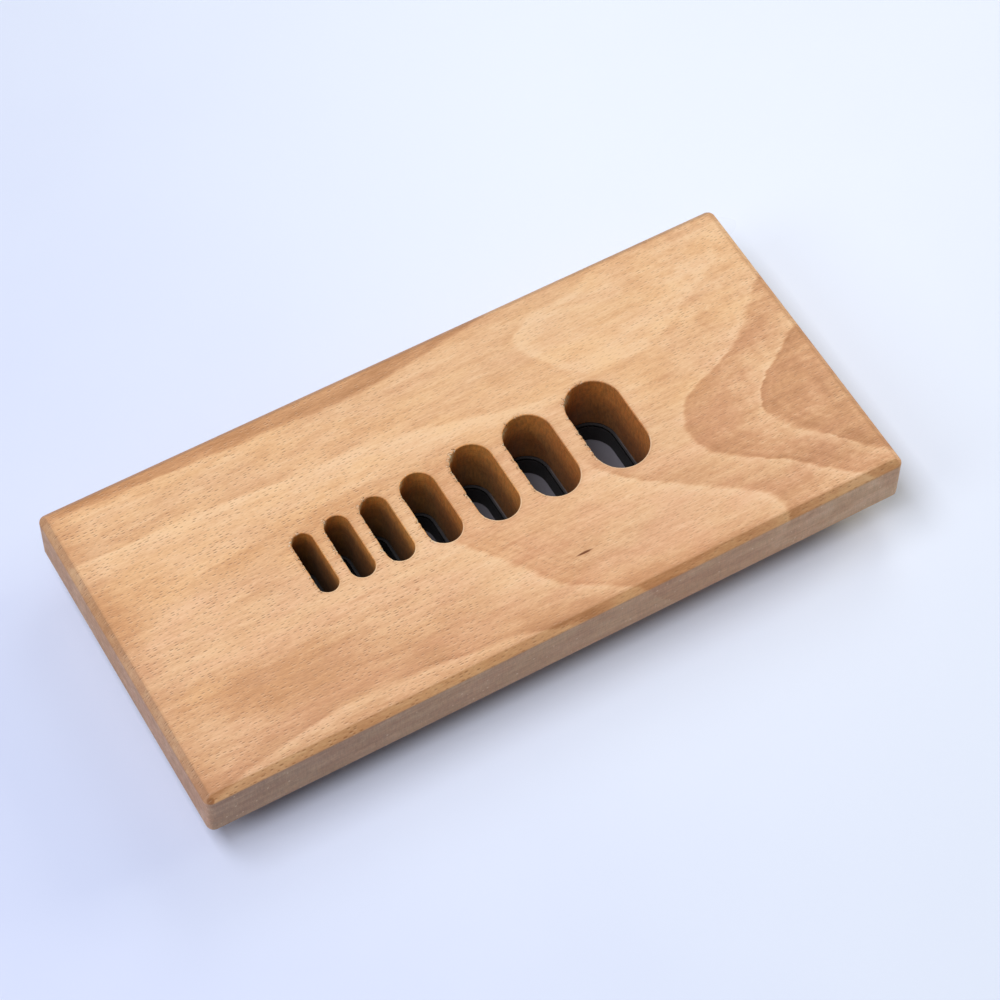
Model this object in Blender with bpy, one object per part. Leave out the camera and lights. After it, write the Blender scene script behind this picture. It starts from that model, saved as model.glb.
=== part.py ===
"""Pick holder: a beech board with a graded row of seven slots, raised on an inset black base.

The object is a stack of three layers, listed here from the table upwards:

  base_pad       thick black sheet that the holder stands on, set back from the board's edge
  bonding_sheet  thin adhesive sheet between the pad and the wood
  beech_board    solid beech, chamfered above and bevelled below

Every slot is one cutter width wide with half-round ends, and all are cut with the same travel, so
a slot's overall length is its width plus that travel. The slots go right through the stack. In
the two lower layers they are narrower all round, which leaves a ledge at the foot of the wood.

Frame: metres, +Z up, origin at the middle of the underside, +X towards the widest slot.
"""

import math

import bmesh
import bpy

# --- Driving dimensions (metres) --------------------------------------------------------------

BOARD_LENGTH = 0.210
BOARD_WIDTH = 0.099
BOARD_THICKNESS = 0.020
BOARD_CORNER_RADIUS = 0.0035
TOP_CHAMFER = 0.002
UNDER_BEVEL = 0.0045

PAD_THICKNESS = 0.0065
PAD_SETBACK = 0.0055          # from the inner edge of the board's under-bevel
PAD_CORNER_RADIUS = 0.005

SHEET_THICKNESS = 0.0004
SHEET_SETBACK = 0.001         # from the edge of the pad
SEAT_GAP = 0.0003             # left between two layers that lie on each other

SLOT_WIDTHS = (0.006, 0.007, 0.008, 0.010, 0.012, 0.014, 0.016)
SLOT_WALLS = (0.00375, 0.00375, 0.0043, 0.0054, 0.0044, 0.0055)   # wood left between neighbours
SLOT_TRAVEL = 0.014           # straight run of the cutter
SLOT_LEDGE = 0.00075          # how far the lower layers reach into each slot
ROW_OFFSET = -0.0006          # middle of the row, from the middle of the board

# --- Fineness of the curves -------------------------------------------------------------------

CORNER_STEPS = 8              # facets in a quarter turn
SLOT_END_STEPS = 20           # facets in a half turn
CUTTER_OVERRUN = 0.002        # how far a cutter stands out of the layer that it cuts
LEAST_RADIUS = 0.0003         # an outline never turns tighter than this
SHARP_ANGLE = math.radians(30)

# --- Heights that follow from them ------------------------------------------------------------

SHEET_BOTTOM = PAD_THICKNESS + SEAT_GAP
SHEET_TOP = SHEET_BOTTOM + SHEET_THICKNESS
BOARD_BOTTOM = SHEET_TOP + SEAT_GAP
BOARD_TOP = BOARD_BOTTOM + BOARD_THICKNESS


def clear_scene():
    """Remove every object that the file holds."""
    for old in list(bpy.data.objects):
        bpy.data.objects.remove(old, do_unlink=True)


def make_material(name, colour, roughness, metallic=0.0):
    """A Principled material with one colour."""
    material = bpy.data.materials.new(name)
    material.use_nodes = True
    shader = material.node_tree.nodes["Principled BSDF"]
    shader.inputs["Base Color"].default_value = (*colour, 1.0)
    shader.inputs["Roughness"].default_value = roughness
    shader.inputs["Metallic"].default_value = metallic
    return material


# --- Outlines ---------------------------------------------------------------------------------


def arc_points(centre, radius, start, sweep, steps):
    """Points along an arc, both ends included."""
    points = []
    for step in range(steps + 1):
        angle = start + sweep * step / steps
        points.append((centre[0] + radius * math.cos(angle), centre[1] + radius * math.sin(angle)))
    return points


def rounded_rectangle(length, width, radius):
    """Anticlockwise outline of a rectangle about the origin, with a quarter turn at each corner."""
    radius = max(radius, LEAST_RADIUS)
    reach_x = length / 2 - radius
    reach_y = width / 2 - radius
    corners = ((reach_x, reach_y), (-reach_x, reach_y), (-reach_x, -reach_y), (reach_x, -reach_y))
    outline = []
    for quarter, centre in enumerate(corners):
        start = quarter * math.pi / 2
        outline += arc_points(centre, radius, start, math.pi / 2, CORNER_STEPS)
    return outline


def board_outline(inset):
    """The board's outline drawn in by the same amount all round."""
    return rounded_rectangle(
        BOARD_LENGTH - 2 * inset,
        BOARD_WIDTH - 2 * inset,
        BOARD_CORNER_RADIUS - inset,
    )


def slot_outline(centre_x, width):
    """Anticlockwise outline of a slot along Y: two straight sides and two half-round ends."""
    radius = width / 2
    outline = arc_points((centre_x, SLOT_TRAVEL / 2), radius, 0.0, math.pi, SLOT_END_STEPS)
    outline += arc_points((centre_x, -SLOT_TRAVEL / 2), radius, math.pi, math.pi, SLOT_END_STEPS)
    return outline


def slot_row():
    """Centre and width of each slot, from the narrow end of the row to the wide one."""
    row_length = sum(SLOT_WIDTHS) + sum(SLOT_WALLS)
    left = ROW_OFFSET - row_length / 2
    row = []
    for width, wall in zip(SLOT_WIDTHS, (*SLOT_WALLS, 0.0)):
        row.append((left + width / 2, width))
        left += width + wall
    return row


# --- Solids -----------------------------------------------------------------------------------


def add_loft(mesh, sections):
    """Close a solid through equal-sized outlines, given from the lowest to the highest.

    Each section is an outline and its height. Neighbouring rings are joined by quads, and the
    first and last ring are filled.
    """
    rings = []
    for outline, height in sections:
        rings.append([mesh.verts.new((x, y, height)) for x, y in outline])
    for lower, upper in zip(rings, rings[1:]):
        for i in range(len(lower)):
            j = (i + 1) % len(lower)
            mesh.faces.new((lower[i], lower[j], upper[j], upper[i]))
    mesh.faces.new(list(reversed(rings[0])))
    mesh.faces.new(rings[-1])


def make_object(name, mesh, material=None):
    """Turn a bmesh into an object of the scene, smooth on its round stretches."""
    data = bpy.data.meshes.new(name)
    mesh.to_mesh(data)
    mesh.free()
    data.shade_smooth()
    data.set_sharp_from_angle(angle=SHARP_ANGLE)
    if material:
        data.materials.append(material)
    solid = bpy.data.objects.new(name, data)
    bpy.context.scene.collection.objects.link(solid)
    return solid


def make_cutter(name, ledge, bottom, top):
    """The whole row of slots as one set of prisms, narrowed by the ledge and left out of view."""
    mesh = bmesh.new()
    for centre_x, width in slot_row():
        outline = slot_outline(centre_x, width - 2 * ledge)
        add_loft(mesh, ((outline, bottom - CUTTER_OVERRUN), (outline, top + CUTTER_OVERRUN)))
    cutter = make_object(name, mesh)
    cutter.hide_render = True
    cutter.display_type = "WIRE"
    return cutter


def cut_slots(layer, cutter):
    """Take the slots out of a layer."""
    cut = layer.modifiers.new("slots", "BOOLEAN")
    cut.operation = "DIFFERENCE"
    cut.solver = "EXACT"
    cut.object = cutter


def build_base_pad():
    """Black pad: a plain sheet, set back from the bevel so that the board seems to float."""
    inset = UNDER_BEVEL + PAD_SETBACK
    outline = rounded_rectangle(
        BOARD_LENGTH - 2 * inset, BOARD_WIDTH - 2 * inset, PAD_CORNER_RADIUS
    )
    mesh = bmesh.new()
    add_loft(mesh, ((outline, 0.0), (outline, PAD_THICKNESS)))
    rubber = make_material("black_rubber", (0.012, 0.011, 0.011), 0.6)
    pad = make_object("base_pad", mesh, rubber)
    cut_slots(pad, make_cutter("pad_slot_cutter", SLOT_LEDGE, 0.0, PAD_THICKNESS))
    return pad


def build_bonding_sheet():
    """Adhesive sheet: cut with the pad's slots, and a little short of the pad's edge."""
    inset = UNDER_BEVEL + PAD_SETBACK + SHEET_SETBACK
    outline = rounded_rectangle(
        BOARD_LENGTH - 2 * inset, BOARD_WIDTH - 2 * inset, PAD_CORNER_RADIUS - SHEET_SETBACK
    )
    mesh = bmesh.new()
    add_loft(mesh, ((outline, SHEET_BOTTOM), (outline, SHEET_TOP)))
    adhesive = make_material("grey_adhesive", (0.07, 0.06, 0.055), 0.5)
    sheet = make_object("bonding_sheet", mesh, adhesive)
    cut_slots(sheet, make_cutter("sheet_slot_cutter", SLOT_LEDGE, SHEET_BOTTOM, SHEET_TOP))
    return sheet


def build_beech_board():
    """Beech board: bevelled underneath, square at the sides and chamfered round the top."""
    side_outline = board_outline(0.0)
    mesh = bmesh.new()
    add_loft(
        mesh,
        (
            (board_outline(UNDER_BEVEL), BOARD_BOTTOM),
            (side_outline, BOARD_BOTTOM + UNDER_BEVEL),
            (side_outline, BOARD_TOP - TOP_CHAMFER),
            (board_outline(TOP_CHAMFER), BOARD_TOP),
        ),
    )
    beech = make_material("oiled_beech", (0.74, 0.46, 0.25), 0.45)
    board = make_object("beech_board", mesh, beech)
    cut_slots(board, make_cutter("board_slot_cutter", 0.0, BOARD_BOTTOM, BOARD_TOP))
    return board


def main():
    clear_scene()
    build_base_pad()
    build_bonding_sheet()
    build_beech_board()


main()
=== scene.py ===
# %% [markdown]
# # A pick holder: a beech board with a graded row of slots
#
# The object is a beech board with a chamfered top and a bevelled underside. It stands on a black
# pad that is set back from its edge, so that the board seems to float. Seven slots of rising
# width go through both.
#
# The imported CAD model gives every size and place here. This notebook adds what CAD leaves out:
# soft and torn edges, the figure of the wood, the black pad's skin, a table, light and a camera.

import math

import bpy
import numpy as np
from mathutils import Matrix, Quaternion, Vector
from mathutils.geometry import delaunay_2d_cdt


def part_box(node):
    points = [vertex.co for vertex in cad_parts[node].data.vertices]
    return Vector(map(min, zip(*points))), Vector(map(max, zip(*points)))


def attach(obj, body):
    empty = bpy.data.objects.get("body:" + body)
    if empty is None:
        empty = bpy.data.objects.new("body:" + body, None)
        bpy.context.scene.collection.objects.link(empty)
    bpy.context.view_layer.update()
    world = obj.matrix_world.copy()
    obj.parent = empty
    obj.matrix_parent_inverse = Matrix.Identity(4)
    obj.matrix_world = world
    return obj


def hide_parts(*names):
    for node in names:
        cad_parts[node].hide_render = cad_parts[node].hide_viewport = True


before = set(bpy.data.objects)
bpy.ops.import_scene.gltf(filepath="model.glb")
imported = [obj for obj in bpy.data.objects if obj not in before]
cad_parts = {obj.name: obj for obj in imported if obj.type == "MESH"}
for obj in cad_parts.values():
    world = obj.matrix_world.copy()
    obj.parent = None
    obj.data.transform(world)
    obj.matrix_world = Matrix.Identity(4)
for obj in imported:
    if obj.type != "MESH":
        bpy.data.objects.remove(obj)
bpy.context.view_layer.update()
board_low, board_high = (np.array(corner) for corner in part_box("beech_board"))
pad_low, pad_high = (np.array(corner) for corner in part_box("base_pad"))
board_size = board_high - board_low
print("board, in mm:", (board_size * 1000).round(2))

# %% [markdown]
# ## The camera
#
# A photograph's viewpoint can be worked out from straight edges whose real lengths are known.
# Here the edges of the board and the rims of the slots gave the place of the camera, the point
# that it looks at, its long lens and a tilt of less than a degree.

# %% Set the camera
EYE = Vector((-0.24202, -0.42515, 0.77461))
AIM = Vector((0.00418, -0.00697, 0.0275))
LENS = 120.85                  # mm, on a sensor 36 mm wide
ROLL = math.radians(0.796)     # right-hand side of the picture up


def add_object(name, data):
    """An object with this mesh, lamp or camera, linked to the scene."""
    made = bpy.data.objects.new(name, data)
    bpy.context.scene.collection.objects.link(made)
    return made


camera_data = bpy.data.cameras.new("photo_camera")
camera_data.lens = LENS
camera_data.sensor_width = 36.0
camera_data.clip_start = 0.01
camera_data.clip_end = 20.0
camera = add_object("photo_camera", camera_data)
camera.rotation_mode = "QUATERNION"
camera.location = EYE
camera.rotation_quaternion = (AIM - EYE).to_track_quat("-Z", "Y") @ Quaternion((0, 0, 1), ROLL)
bpy.context.scene.camera = camera
print("camera to board, in mm:", round((AIM - EYE).length * 1000))

# %% [markdown]
# ## Closed outlines as arrays
#
# Every outline here is a rounded box seen from above: board and pad have small corners, and a
# slot's ends are half round. A station on an outline is a share of the way to the corner's centre,
# -1 to 1 in x and in y, plus the direction that faces outwards. Any offset of the outline is then
# plain arithmetic, and its stations stay matched from ring to ring.

# %% Stations round an outline
def stations(reach, radius, spacing, turn_steps):
    """Stations round a rounded box, anticlockwise from its right-hand side.

    Each row holds the share of the reach in x and in y, and the outward direction. Corner
    stations stay at a corner and turn through a quarter; side stations keep their direction and
    slide from one corner to the next. A side with no length gets no stations of its own.
    """
    corner = np.array(((1, 1), (-1, 1), (-1, -1), (1, -1)), float)
    rows = []
    for quarter in range(4):
        here = corner[quarter]
        there = corner[(quarter + 1) % 4]
        turn = (quarter + np.linspace(0, 1, turn_steps + 1)) * np.pi / 2
        rows.append(np.column_stack((np.tile(here, (len(turn), 1)), np.cos(turn), np.sin(turn))))
        length = np.abs((there - here) * reach).sum()
        count = max(int(round(length / spacing)), 1)
        share = np.linspace(0, 1, count + 1)[1:-1, None]
        slide = here + (there - here) * share
        ahead = np.tile((np.cos(turn[-1]), np.sin(turn[-1])), (len(slide), 1))
        rows.append(np.hstack((slide, ahead)))
    rows = np.vstack(rows)
    placed = rows[:, :2] * reach + rows[:, 2:] * radius
    apart = np.linalg.norm(placed - np.roll(placed, 1, axis=0), axis=1)
    return rows[apart > 1e-7]


def ring_grid(rows, centre, reach, radius, height):
    """Grid of points, ring by ring: centre + reach * share + radius * direction, and a height."""
    flat = centre + reach * rows[:, :2] + radius[..., None] * rows[:, 2:]
    rise = np.broadcast_to(height, flat.shape[:2])
    return np.concatenate((flat, rise[..., None]), axis=2)


# %% [markdown]
# ## Edges that are never sharp
#
# Sandpaper and hands take off the last few tenths of a millimetre of an edge, and that sliver
# catches the light. A profile is given by its sharp corners, and each becomes a small arc. A ring
# just before and just after each arc keeps the flat faces' shading flat.

# %% Round the corners of a profile
ARC_STEPS = 4
MARGIN = 0.00012               # from the end of an arc to the ring beside it


def softened(corners, radius, margin=MARGIN):
    """Profile with every inner corner replaced by an arc that touches both its sides.

    The arc leaves the first side at radius * tan(half the turn) before the corner. One point
    margin before the arc and one margin after it lie on the sides.
    """
    corners = np.asarray(corners, float)
    sides = np.diff(corners, axis=0)
    unit = sides / np.linalg.norm(sides, axis=1, keepdims=True)
    before = unit[:-1]
    after = unit[1:]
    cross = before[:, 0] * after[:, 1] - before[:, 1] * after[:, 0]
    turn = np.arctan2(cross, (before * after).sum(axis=1))
    radius = np.broadcast_to(np.asarray(radius, float), turn.shape)
    reach = (radius * np.tan(np.abs(turn) / 2))[:, None]
    inward = np.sign(turn)[:, None] * np.column_stack((-before[:, 1], before[:, 0]))
    start = corners[1:-1] - before * reach
    end = corners[1:-1] + after * reach
    centre = start + inward * radius[:, None]
    angle = turn[:, None] * np.linspace(0, 1, ARC_STEPS + 1)
    arm = -inward * radius[:, None]
    arc_x = arm[:, :1] * np.cos(angle) - arm[:, 1:] * np.sin(angle)
    arc_y = arm[:, :1] * np.sin(angle) + arm[:, 1:] * np.cos(angle)
    arcs = centre[:, None] + np.stack((arc_x, arc_y), axis=2)
    first = (start - before * margin)[:, None]
    last = (end + after * margin)[:, None]
    groups = np.concatenate((first, arcs, last), axis=1)
    return np.vstack((corners[:1], groups.reshape(-1, 2), corners[-1:]))


# %% [markdown]
# ## From grids to a closed solid
#
# The walls are grids of quads. A constrained triangulation fills the flat top and bottom between
# the outer ring and the slots' rings. Walls and fills share those rings of points, so the solid is
# closed with nothing to merge.

# %% Collect walls and fills into one mesh
class Shell:
    """Points, faces and three values per point, gathered for a closed mesh.

    Worn is high at edges. Inner is 1 on the walls of the slots and 0 on the outside. Deep is the
    depth in a slot as a share of its width.
    """

    def __init__(self):
        self.points = []
        self.values = {"worn": [], "inner": [], "deep": []}
        self.faces = []
        self.count = 0

    def add_wall(self, grid, worn, inner, deep=0.0):
        """Add rings joined by quads, and return the numbers of each ring's points."""
        rings, around = grid.shape[:2]
        numbers = self.count + np.arange(rings * around).reshape(rings, around)
        ahead = np.roll(numbers, -1, axis=1)
        quads = np.stack((numbers[:-1], ahead[:-1], ahead[1:], numbers[1:]), axis=2)
        self.points.append(grid.reshape(-1, 3))
        for name, value in (("worn", worn), ("inner", inner), ("deep", deep)):
            self.values[name].append(np.broadcast_to(value, (rings, around)).reshape(-1))
        self.faces += quads.reshape(-1, 4).tolist()
        self.count += rings * around
        return numbers

    def add_fill(self, loops, upwards):
        """Fill between closed loops of points at one height, the first loop round the others.

        A triangle whose three corners all lie on one inner loop is inside that hole, because the
        loops are convex, so it is dropped.
        """
        points = np.vstack(self.points)
        numbers = np.concatenate(loops)
        owner = np.repeat(np.arange(len(loops)), [len(loop) for loop in loops])
        edges = []
        first = 0
        for loop in loops:
            own = first + np.arange(len(loop))
            edges += np.column_stack((own, np.roll(own, -1))).tolist()
            first += len(loop)
        places = [Vector(place) for place in (points[numbers, :2] * 1000).tolist()]
        filled = delaunay_2d_cdt(places, edges, [], 1, 1e-6)
        source = np.array([origin[0] for origin in filled[3]])
        corners = source[np.array(filled[2])]
        belongs = owner[corners]
        in_hole = (belongs[:, 0] > 0) & (belongs == belongs[:, :1]).all(axis=1)
        faces = numbers[corners[~in_hole]]
        a, b, c = (points[faces[:, i], :2] for i in range(3))
        area = (b[:, 0] - a[:, 0]) * (c[:, 1] - a[:, 1]) - (b[:, 1] - a[:, 1]) * (c[:, 0] - a[:, 0])
        wrong = (area > 0) != upwards
        faces[wrong] = faces[wrong][:, ::-1]
        self.faces += faces.tolist()

    def add_caps(self, outer, slots):
        """Fill the top and bottom between the outer wall, which rises, and the slots' walls."""
        self.add_fill([outer[-1], *(wall[0] for wall in slots)], upwards=True)
        self.add_fill([outer[0], *(wall[-1] for wall in slots)], upwards=False)

    def make(self, name, material):
        """Build the object at the origin, smooth, with the three values as point attributes."""
        mesh = bpy.data.meshes.new(name)
        mesh.from_pydata(np.vstack(self.points).tolist(), [], self.faces)
        for attribute, values in self.values.items():
            layer = mesh.attributes.new(attribute, "FLOAT", "POINT")
            layer.data.foreach_set("value", np.concatenate(values).astype(np.float32))
        mesh.shade_smooth()
        mesh.materials.append(material)
        triangles = sum(len(face) - 2 for face in self.faces)
        print(name, "has", triangles, "triangles")
        return add_object(name, mesh)


# %% [markdown]
# ## The row of slots
#
# The slots step up by one or two millimetres in width. Each is cut with the same travel, so the
# wide ones are longer too. The wood between neighbours grows with them. The row's middle sits a
# little left of the board's, and these few sizes give every centre.

# %% Slot sizes and centres
SLOT_WIDTHS = np.array((6, 7, 8, 10, 12, 14, 16)) / 1000
SLOT_WALLS = np.array((3.75, 3.75, 4.3, 5.4, 4.4, 5.5)) / 1000
SLOT_TRAVEL = 0.014
SLOT_LEDGE = 0.00075
ROW_OFFSET = -0.0006

row_length = SLOT_WIDTHS.sum() + SLOT_WALLS.sum()
slot_lefts = np.concatenate(((0.0,), np.cumsum(SLOT_WIDTHS[:-1] + SLOT_WALLS)))
slot_centres = ROW_OFFSET - row_length / 2 + slot_lefts + SLOT_WIDTHS / 2
print("slot centres, in mm:", (slot_centres * 1000).round(2))

# %% [markdown]
# ## Torn fibres at the rims
#
# Where the cutter leaves the wood across the grain, short fibres break out: here along the
# left-hand edges and the far left arcs of the slots. A torn place is a rim that is suddenly wider
# and deeper, so a neat and a ragged profile are mixed, by seeded random bumps along the rim.

# %% How torn a rim is
RIM_RADIUS = 0.00022
TORN_RADIUS = 0.0009


def torn_share(rows, lengths, seed):
    """Share of the ragged profile at each station, 0 to 1.

    It is a sum of narrow bumps at random places along the rim, kept where the outward direction
    points left, with most of them towards the far end.
    """
    random = np.random.default_rng(seed)
    count = int(lengths[-1] / 0.0008)
    places = random.uniform(0, lengths[-1], count)
    widths = random.uniform(0.00012, 0.0005, count)
    heights = random.uniform(0.0, 1.3, count) ** 1.6
    bumps = np.exp(-(((lengths[:, None] - places) / widths) ** 2)) * heights
    leftness = np.clip(-rows[:, 2] * 0.8 + rows[:, 3] * 0.25 + rows[:, 1] * 0.2, 0.04, 1.0)
    return np.clip(bumps.max(axis=1) * leftness, 0.0, 1.0)


# %% [markdown]
# ## The beech board
#
# The board's outer wall is one profile carried round the outline: bevel, side, chamfer and the
# edges between them. Near a corner the outline's radius shrinks as the profile moves in, down to
# a fraction of a millimetre on the top face, where the corners look almost square.

# %% Model the board
CORNER_RADIUS = 0.0023
LEAST_RADIUS = 0.0003
TOP_CHAMFER = 0.002
UNDER_BEVEL = 0.0045
EDGE_RADII = (0.0003, 0.0004, 0.0008, 0.0010)    # from the lowest arris to the top one
CORNER_SHRINK = 1.5            # how fast the corner radius falls with the distance in
SHOULDER = 0.0006              # flat kept between an edge and the fill of a face
BOARD_STEP = 0.002             # between stations of the outer wall
RIM_STEP = 0.0002              # between stations of a torn slot wall
FIRST_SEED = 40


def outer_wall(shell, low, high, corner_radius, corners, edge_radius, spacing):
    """Carry a profile of (distance in, height) corners round a rounded box."""
    profile = softened(corners, edge_radius)
    inset = profile[:, :1]
    half = (high - low)[:2] / 2
    rows = stations(half - corner_radius, corner_radius, spacing, 10)
    radius = np.maximum(corner_radius - inset * CORNER_SHRINK, LEAST_RADIUS)
    reach = half - (inset + radius)[..., None]
    grid = ring_grid(rows, (low + high)[:2] / 2, reach, radius, profile[:, 1:])
    bend = np.zeros(len(profile))
    arc_length = ARC_STEPS + 3
    bend[1:-1] = np.tile((0, *(0.3,) * (arc_length - 2), 0), len(corners) - 2)
    return shell.add_wall(grid, bend[:, None], 0.0)


def slot_wall(shell, centre_x, width, high, low, edge_radius, spacing, seed=None,
              margin=MARGIN):
    """Wall of one slot, from the top face down to the bottom face, torn at its rim if seeded."""
    neat = softened(((SHOULDER, high), (0, high), (0, low), (SHOULDER, low)), edge_radius, margin)
    reach = np.array((0.0, SLOT_TRAVEL / 2))
    rows = stations(reach, width / 2, spacing, max(int(width * 0.785 / spacing), 8))
    place = rows[:, :2] * reach + rows[:, 2:] * width / 2
    lengths = np.cumsum(np.linalg.norm(place - np.roll(place, 1, axis=0), axis=1))
    torn = np.zeros(len(rows))
    offset = np.repeat(neat[:, :1], len(rows), axis=1)
    height = np.repeat(neat[:, 1:], len(rows), axis=1)
    if seed is not None:
        ragged = softened(((SHOULDER * 2, high), (0, high), (0, low), (SHOULDER, low)),
                          (TORN_RADIUS, edge_radius))
        torn = torn_share(rows, lengths, seed)
        offset += (ragged[:, :1] - neat[:, :1]) * torn
        height += (ragged[:, 1:] - neat[:, 1:]) * torn
        offset[0] = SHOULDER * 2
    grid = ring_grid(rows, np.array((centre_x, 0.0)), reach, width / 2 + offset, height)
    rim = np.zeros(len(neat))
    rim[1:ARC_STEPS + 3] = 1.0
    worn = rim[:, None] * (0.35 + torn)
    worn[0] = 0.0
    inner = np.ones(len(neat))
    inner[[0, 1, -2, -1]] = 0.0
    deep = (high - neat[:, 1:]) / width
    return shell.add_wall(grid, np.clip(worn, 0, 1), inner[:, None], deep)


def build_board(material):
    """Outer wall, seven torn slot walls, and the fills of the top and bottom faces."""
    shell = Shell()
    bottom = board_low[2]
    top = board_high[2]
    outer = outer_wall(shell, board_low, board_high, CORNER_RADIUS, (
        (UNDER_BEVEL + SHOULDER, bottom),
        (UNDER_BEVEL, bottom),
        (0, bottom + UNDER_BEVEL),
        (0, top - TOP_CHAMFER),
        (TOP_CHAMFER, top),
        (TOP_CHAMFER + SHOULDER, top),
    ), EDGE_RADII, BOARD_STEP)
    slots = []
    for number, (centre_x, width) in enumerate(zip(slot_centres, SLOT_WIDTHS)):
        slots.append(slot_wall(shell, centre_x, width, top, bottom, RIM_RADIUS, RIM_STEP,
                               seed=FIRST_SEED + number))
    shell.add_caps(outer, slots)
    return shell.make("oiled_beech_board", material)


# %% [markdown]
# ## The two lower layers
#
# Under the wood lie a thin adhesive sheet and a pad of dense black rubber, both with cut edges.
# Their slots are narrower than the wood's, so a thin ledge shows at the foot of each. Corner
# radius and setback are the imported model's.

# %% Model a flat layer
PAD_CORNER = 0.005
PAD_EDGE = 0.00035
LAYER_STEP = 0.003             # between stations of the outer wall
LEDGE_STEP = 0.0005            # between stations of a slot wall


def build_layer(name, low, high, corner_radius, edge_radius, material, margin=MARGIN):
    """Outer wall and slot walls with softly cut edges, filled above and below."""
    shell = Shell()
    bottom = low[2]
    top = high[2]
    outer = outer_wall(shell, low, high, corner_radius, (
        (SHOULDER, bottom), (0, bottom), (0, top), (SHOULDER, top)), edge_radius, LAYER_STEP)
    slots = []
    for centre_x, width in zip(slot_centres, SLOT_WIDTHS - 2 * SLOT_LEDGE):
        slots.append(slot_wall(shell, centre_x, width, top, bottom, edge_radius, LEDGE_STEP,
                               margin=margin))
    shell.add_caps(outer, slots)
    return shell.make(name, material)


# %% [markdown]
# ## Writing materials as formulas
#
# A node tree reads best as a formula. This helper adds a node, feeds each input with a number or
# with another node's result, and hands back the result. Results are added, subtracted, multiplied
# and divided as numbers are.

# %% A short hand for nodes
def arithmetic(operation, swapped=False):
    """A method that writes one operation on two values as a Math node."""
    def method(self, other):
        pair = (other, self) if swapped else (self, other)
        return self.wiring.math(operation, *pair)
    return method


class Value:
    """One output of a node. Arithmetic with it adds Math nodes to its tree."""

    def __init__(self, wiring, socket):
        self.wiring = wiring
        self.socket = socket

    __add__ = arithmetic("ADD")
    __radd__ = arithmetic("ADD", swapped=True)
    __sub__ = arithmetic("SUBTRACT")
    __rsub__ = arithmetic("SUBTRACT", swapped=True)
    __mul__ = arithmetic("MULTIPLY")
    __truediv__ = arithmetic("DIVIDE")
    __rtruediv__ = arithmetic("DIVIDE", swapped=True)


class Wiring:
    """Adds nodes to one tree. An input is given a number, a tuple or another node's Value."""

    def __init__(self, tree):
        self.tree = tree

    def put(self, kind, inputs=None, **settings):
        """Add a node, set its own settings and then its inputs, by name or by number."""
        node = self.tree.nodes.new(kind)
        for name, value in settings.items():
            setattr(node, name, value)
        for name, value in (inputs or {}).items():
            self.feed(node.inputs[name], value)
        return node

    def outputs(self, kind, inputs=None, **settings):
        """Add a node in the same way, and return its outputs, by name and by number."""
        found = {}
        for number, socket in enumerate(self.put(kind, inputs, **settings).outputs):
            found[number] = found[socket.name] = Value(self, socket)
        return found

    def feed(self, socket, value):
        """Link a Value to an input, or set the input's own value."""
        if isinstance(value, Value):
            self.tree.links.new(value.socket, socket)
        else:
            socket.default_value = value

    def math(self, operation, first, second=0.0):
        """One arithmetic step."""
        return self.outputs("ShaderNodeMath", {0: first, 1: second}, operation=operation)[0]

    def vector(self, operation, first, second=(0.0, 0.0, 0.0)):
        """One step on vectors."""
        found = self.outputs("ShaderNodeVectorMath", {0: first, 1: second}, operation=operation)
        return found["Value" if operation == "LENGTH" else "Vector"]

    def reaches(self, place, centre, reach):
        """Distance of a place from a centre, counted in reaches, which differ along x, y and z."""
        offset = self.vector("DIVIDE", self.vector("SUBTRACT", place, centre), reach)
        return self.vector("LENGTH", offset)

    def combine(self, x, y, z):
        """A vector from its three parts."""
        return self.outputs("ShaderNodeCombineXYZ", {0: x, 1: y, 2: z})[0]

    def parts(self, vector):
        """The three parts of a vector."""
        found = self.outputs("ShaderNodeSeparateXYZ", {0: vector})
        return [found[axis] for axis in range(3)]

    def millimetres(self):
        """The place on the object, in millimetres."""
        place = self.outputs("ShaderNodeTexCoord")["Object"]
        return self.vector("MULTIPLY", place, (1000.0, 1000.0, 1000.0))

    def attribute(self, name):
        """A value that the mesh holds at its points."""
        return self.outputs("ShaderNodeAttribute", attribute_name=name)["Fac"]

    def span(self, value, low, high, new_low=0.0, new_high=1.0, smooth=True):
        """Carry a value from one range to another, and hold it at the ends."""
        kind = "SMOOTHSTEP" if smooth else "LINEAR"
        return self.outputs("ShaderNodeMapRange", {
            "Value": value, "From Min": low, "From Max": high, "To Min": new_low,
            "To Max": new_high}, interpolation_type=kind)[0]

    def noise(self, vector, scale, detail=3.0, roughness=0.5):
        """Cloudy noise about 0.5."""
        return self.outputs("ShaderNodeTexNoise", {
            "Vector": vector, "Scale": scale, "Detail": detail, "Roughness": roughness})[0]

    def grain(self, place, size, detail, roughness=0.5):
        """Cloudy noise about 0.5 whose lumps have this size along x, y and z, in millimetres."""
        squeeze = tuple(1 / length for length in size)
        return self.noise(self.vector("MULTIPLY", place, squeeze), 1.0, detail, roughness)

    def mix(self, share, first, second, blend="MIX"):
        """Mix a share of the second colour, held between 0 and 1, into the first."""
        return self.outputs("ShaderNodeMix", {0: share, 6: first, 7: second},
                            data_type="RGBA", blend_type=blend)[2]

    def tint(self, share, colour, cast):
        """Multiply a share of a colour by a cast, which is a colour or a grey value."""
        if isinstance(cast, Value) and cast.socket.type == "VALUE":
            cast = self.combine(cast, cast, cast)
        return self.mix(share, colour, self.mix(1.0, colour, cast, "MULTIPLY"))

    def place(self, group, **inputs):
        """Place a node group. An input's name is given with underscores for its spaces."""
        labels = {name.replace("_", " ").capitalize(): inputs[name] for name in inputs}
        return self.outputs("ShaderNodeGroup", labels, node_tree=group)


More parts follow.
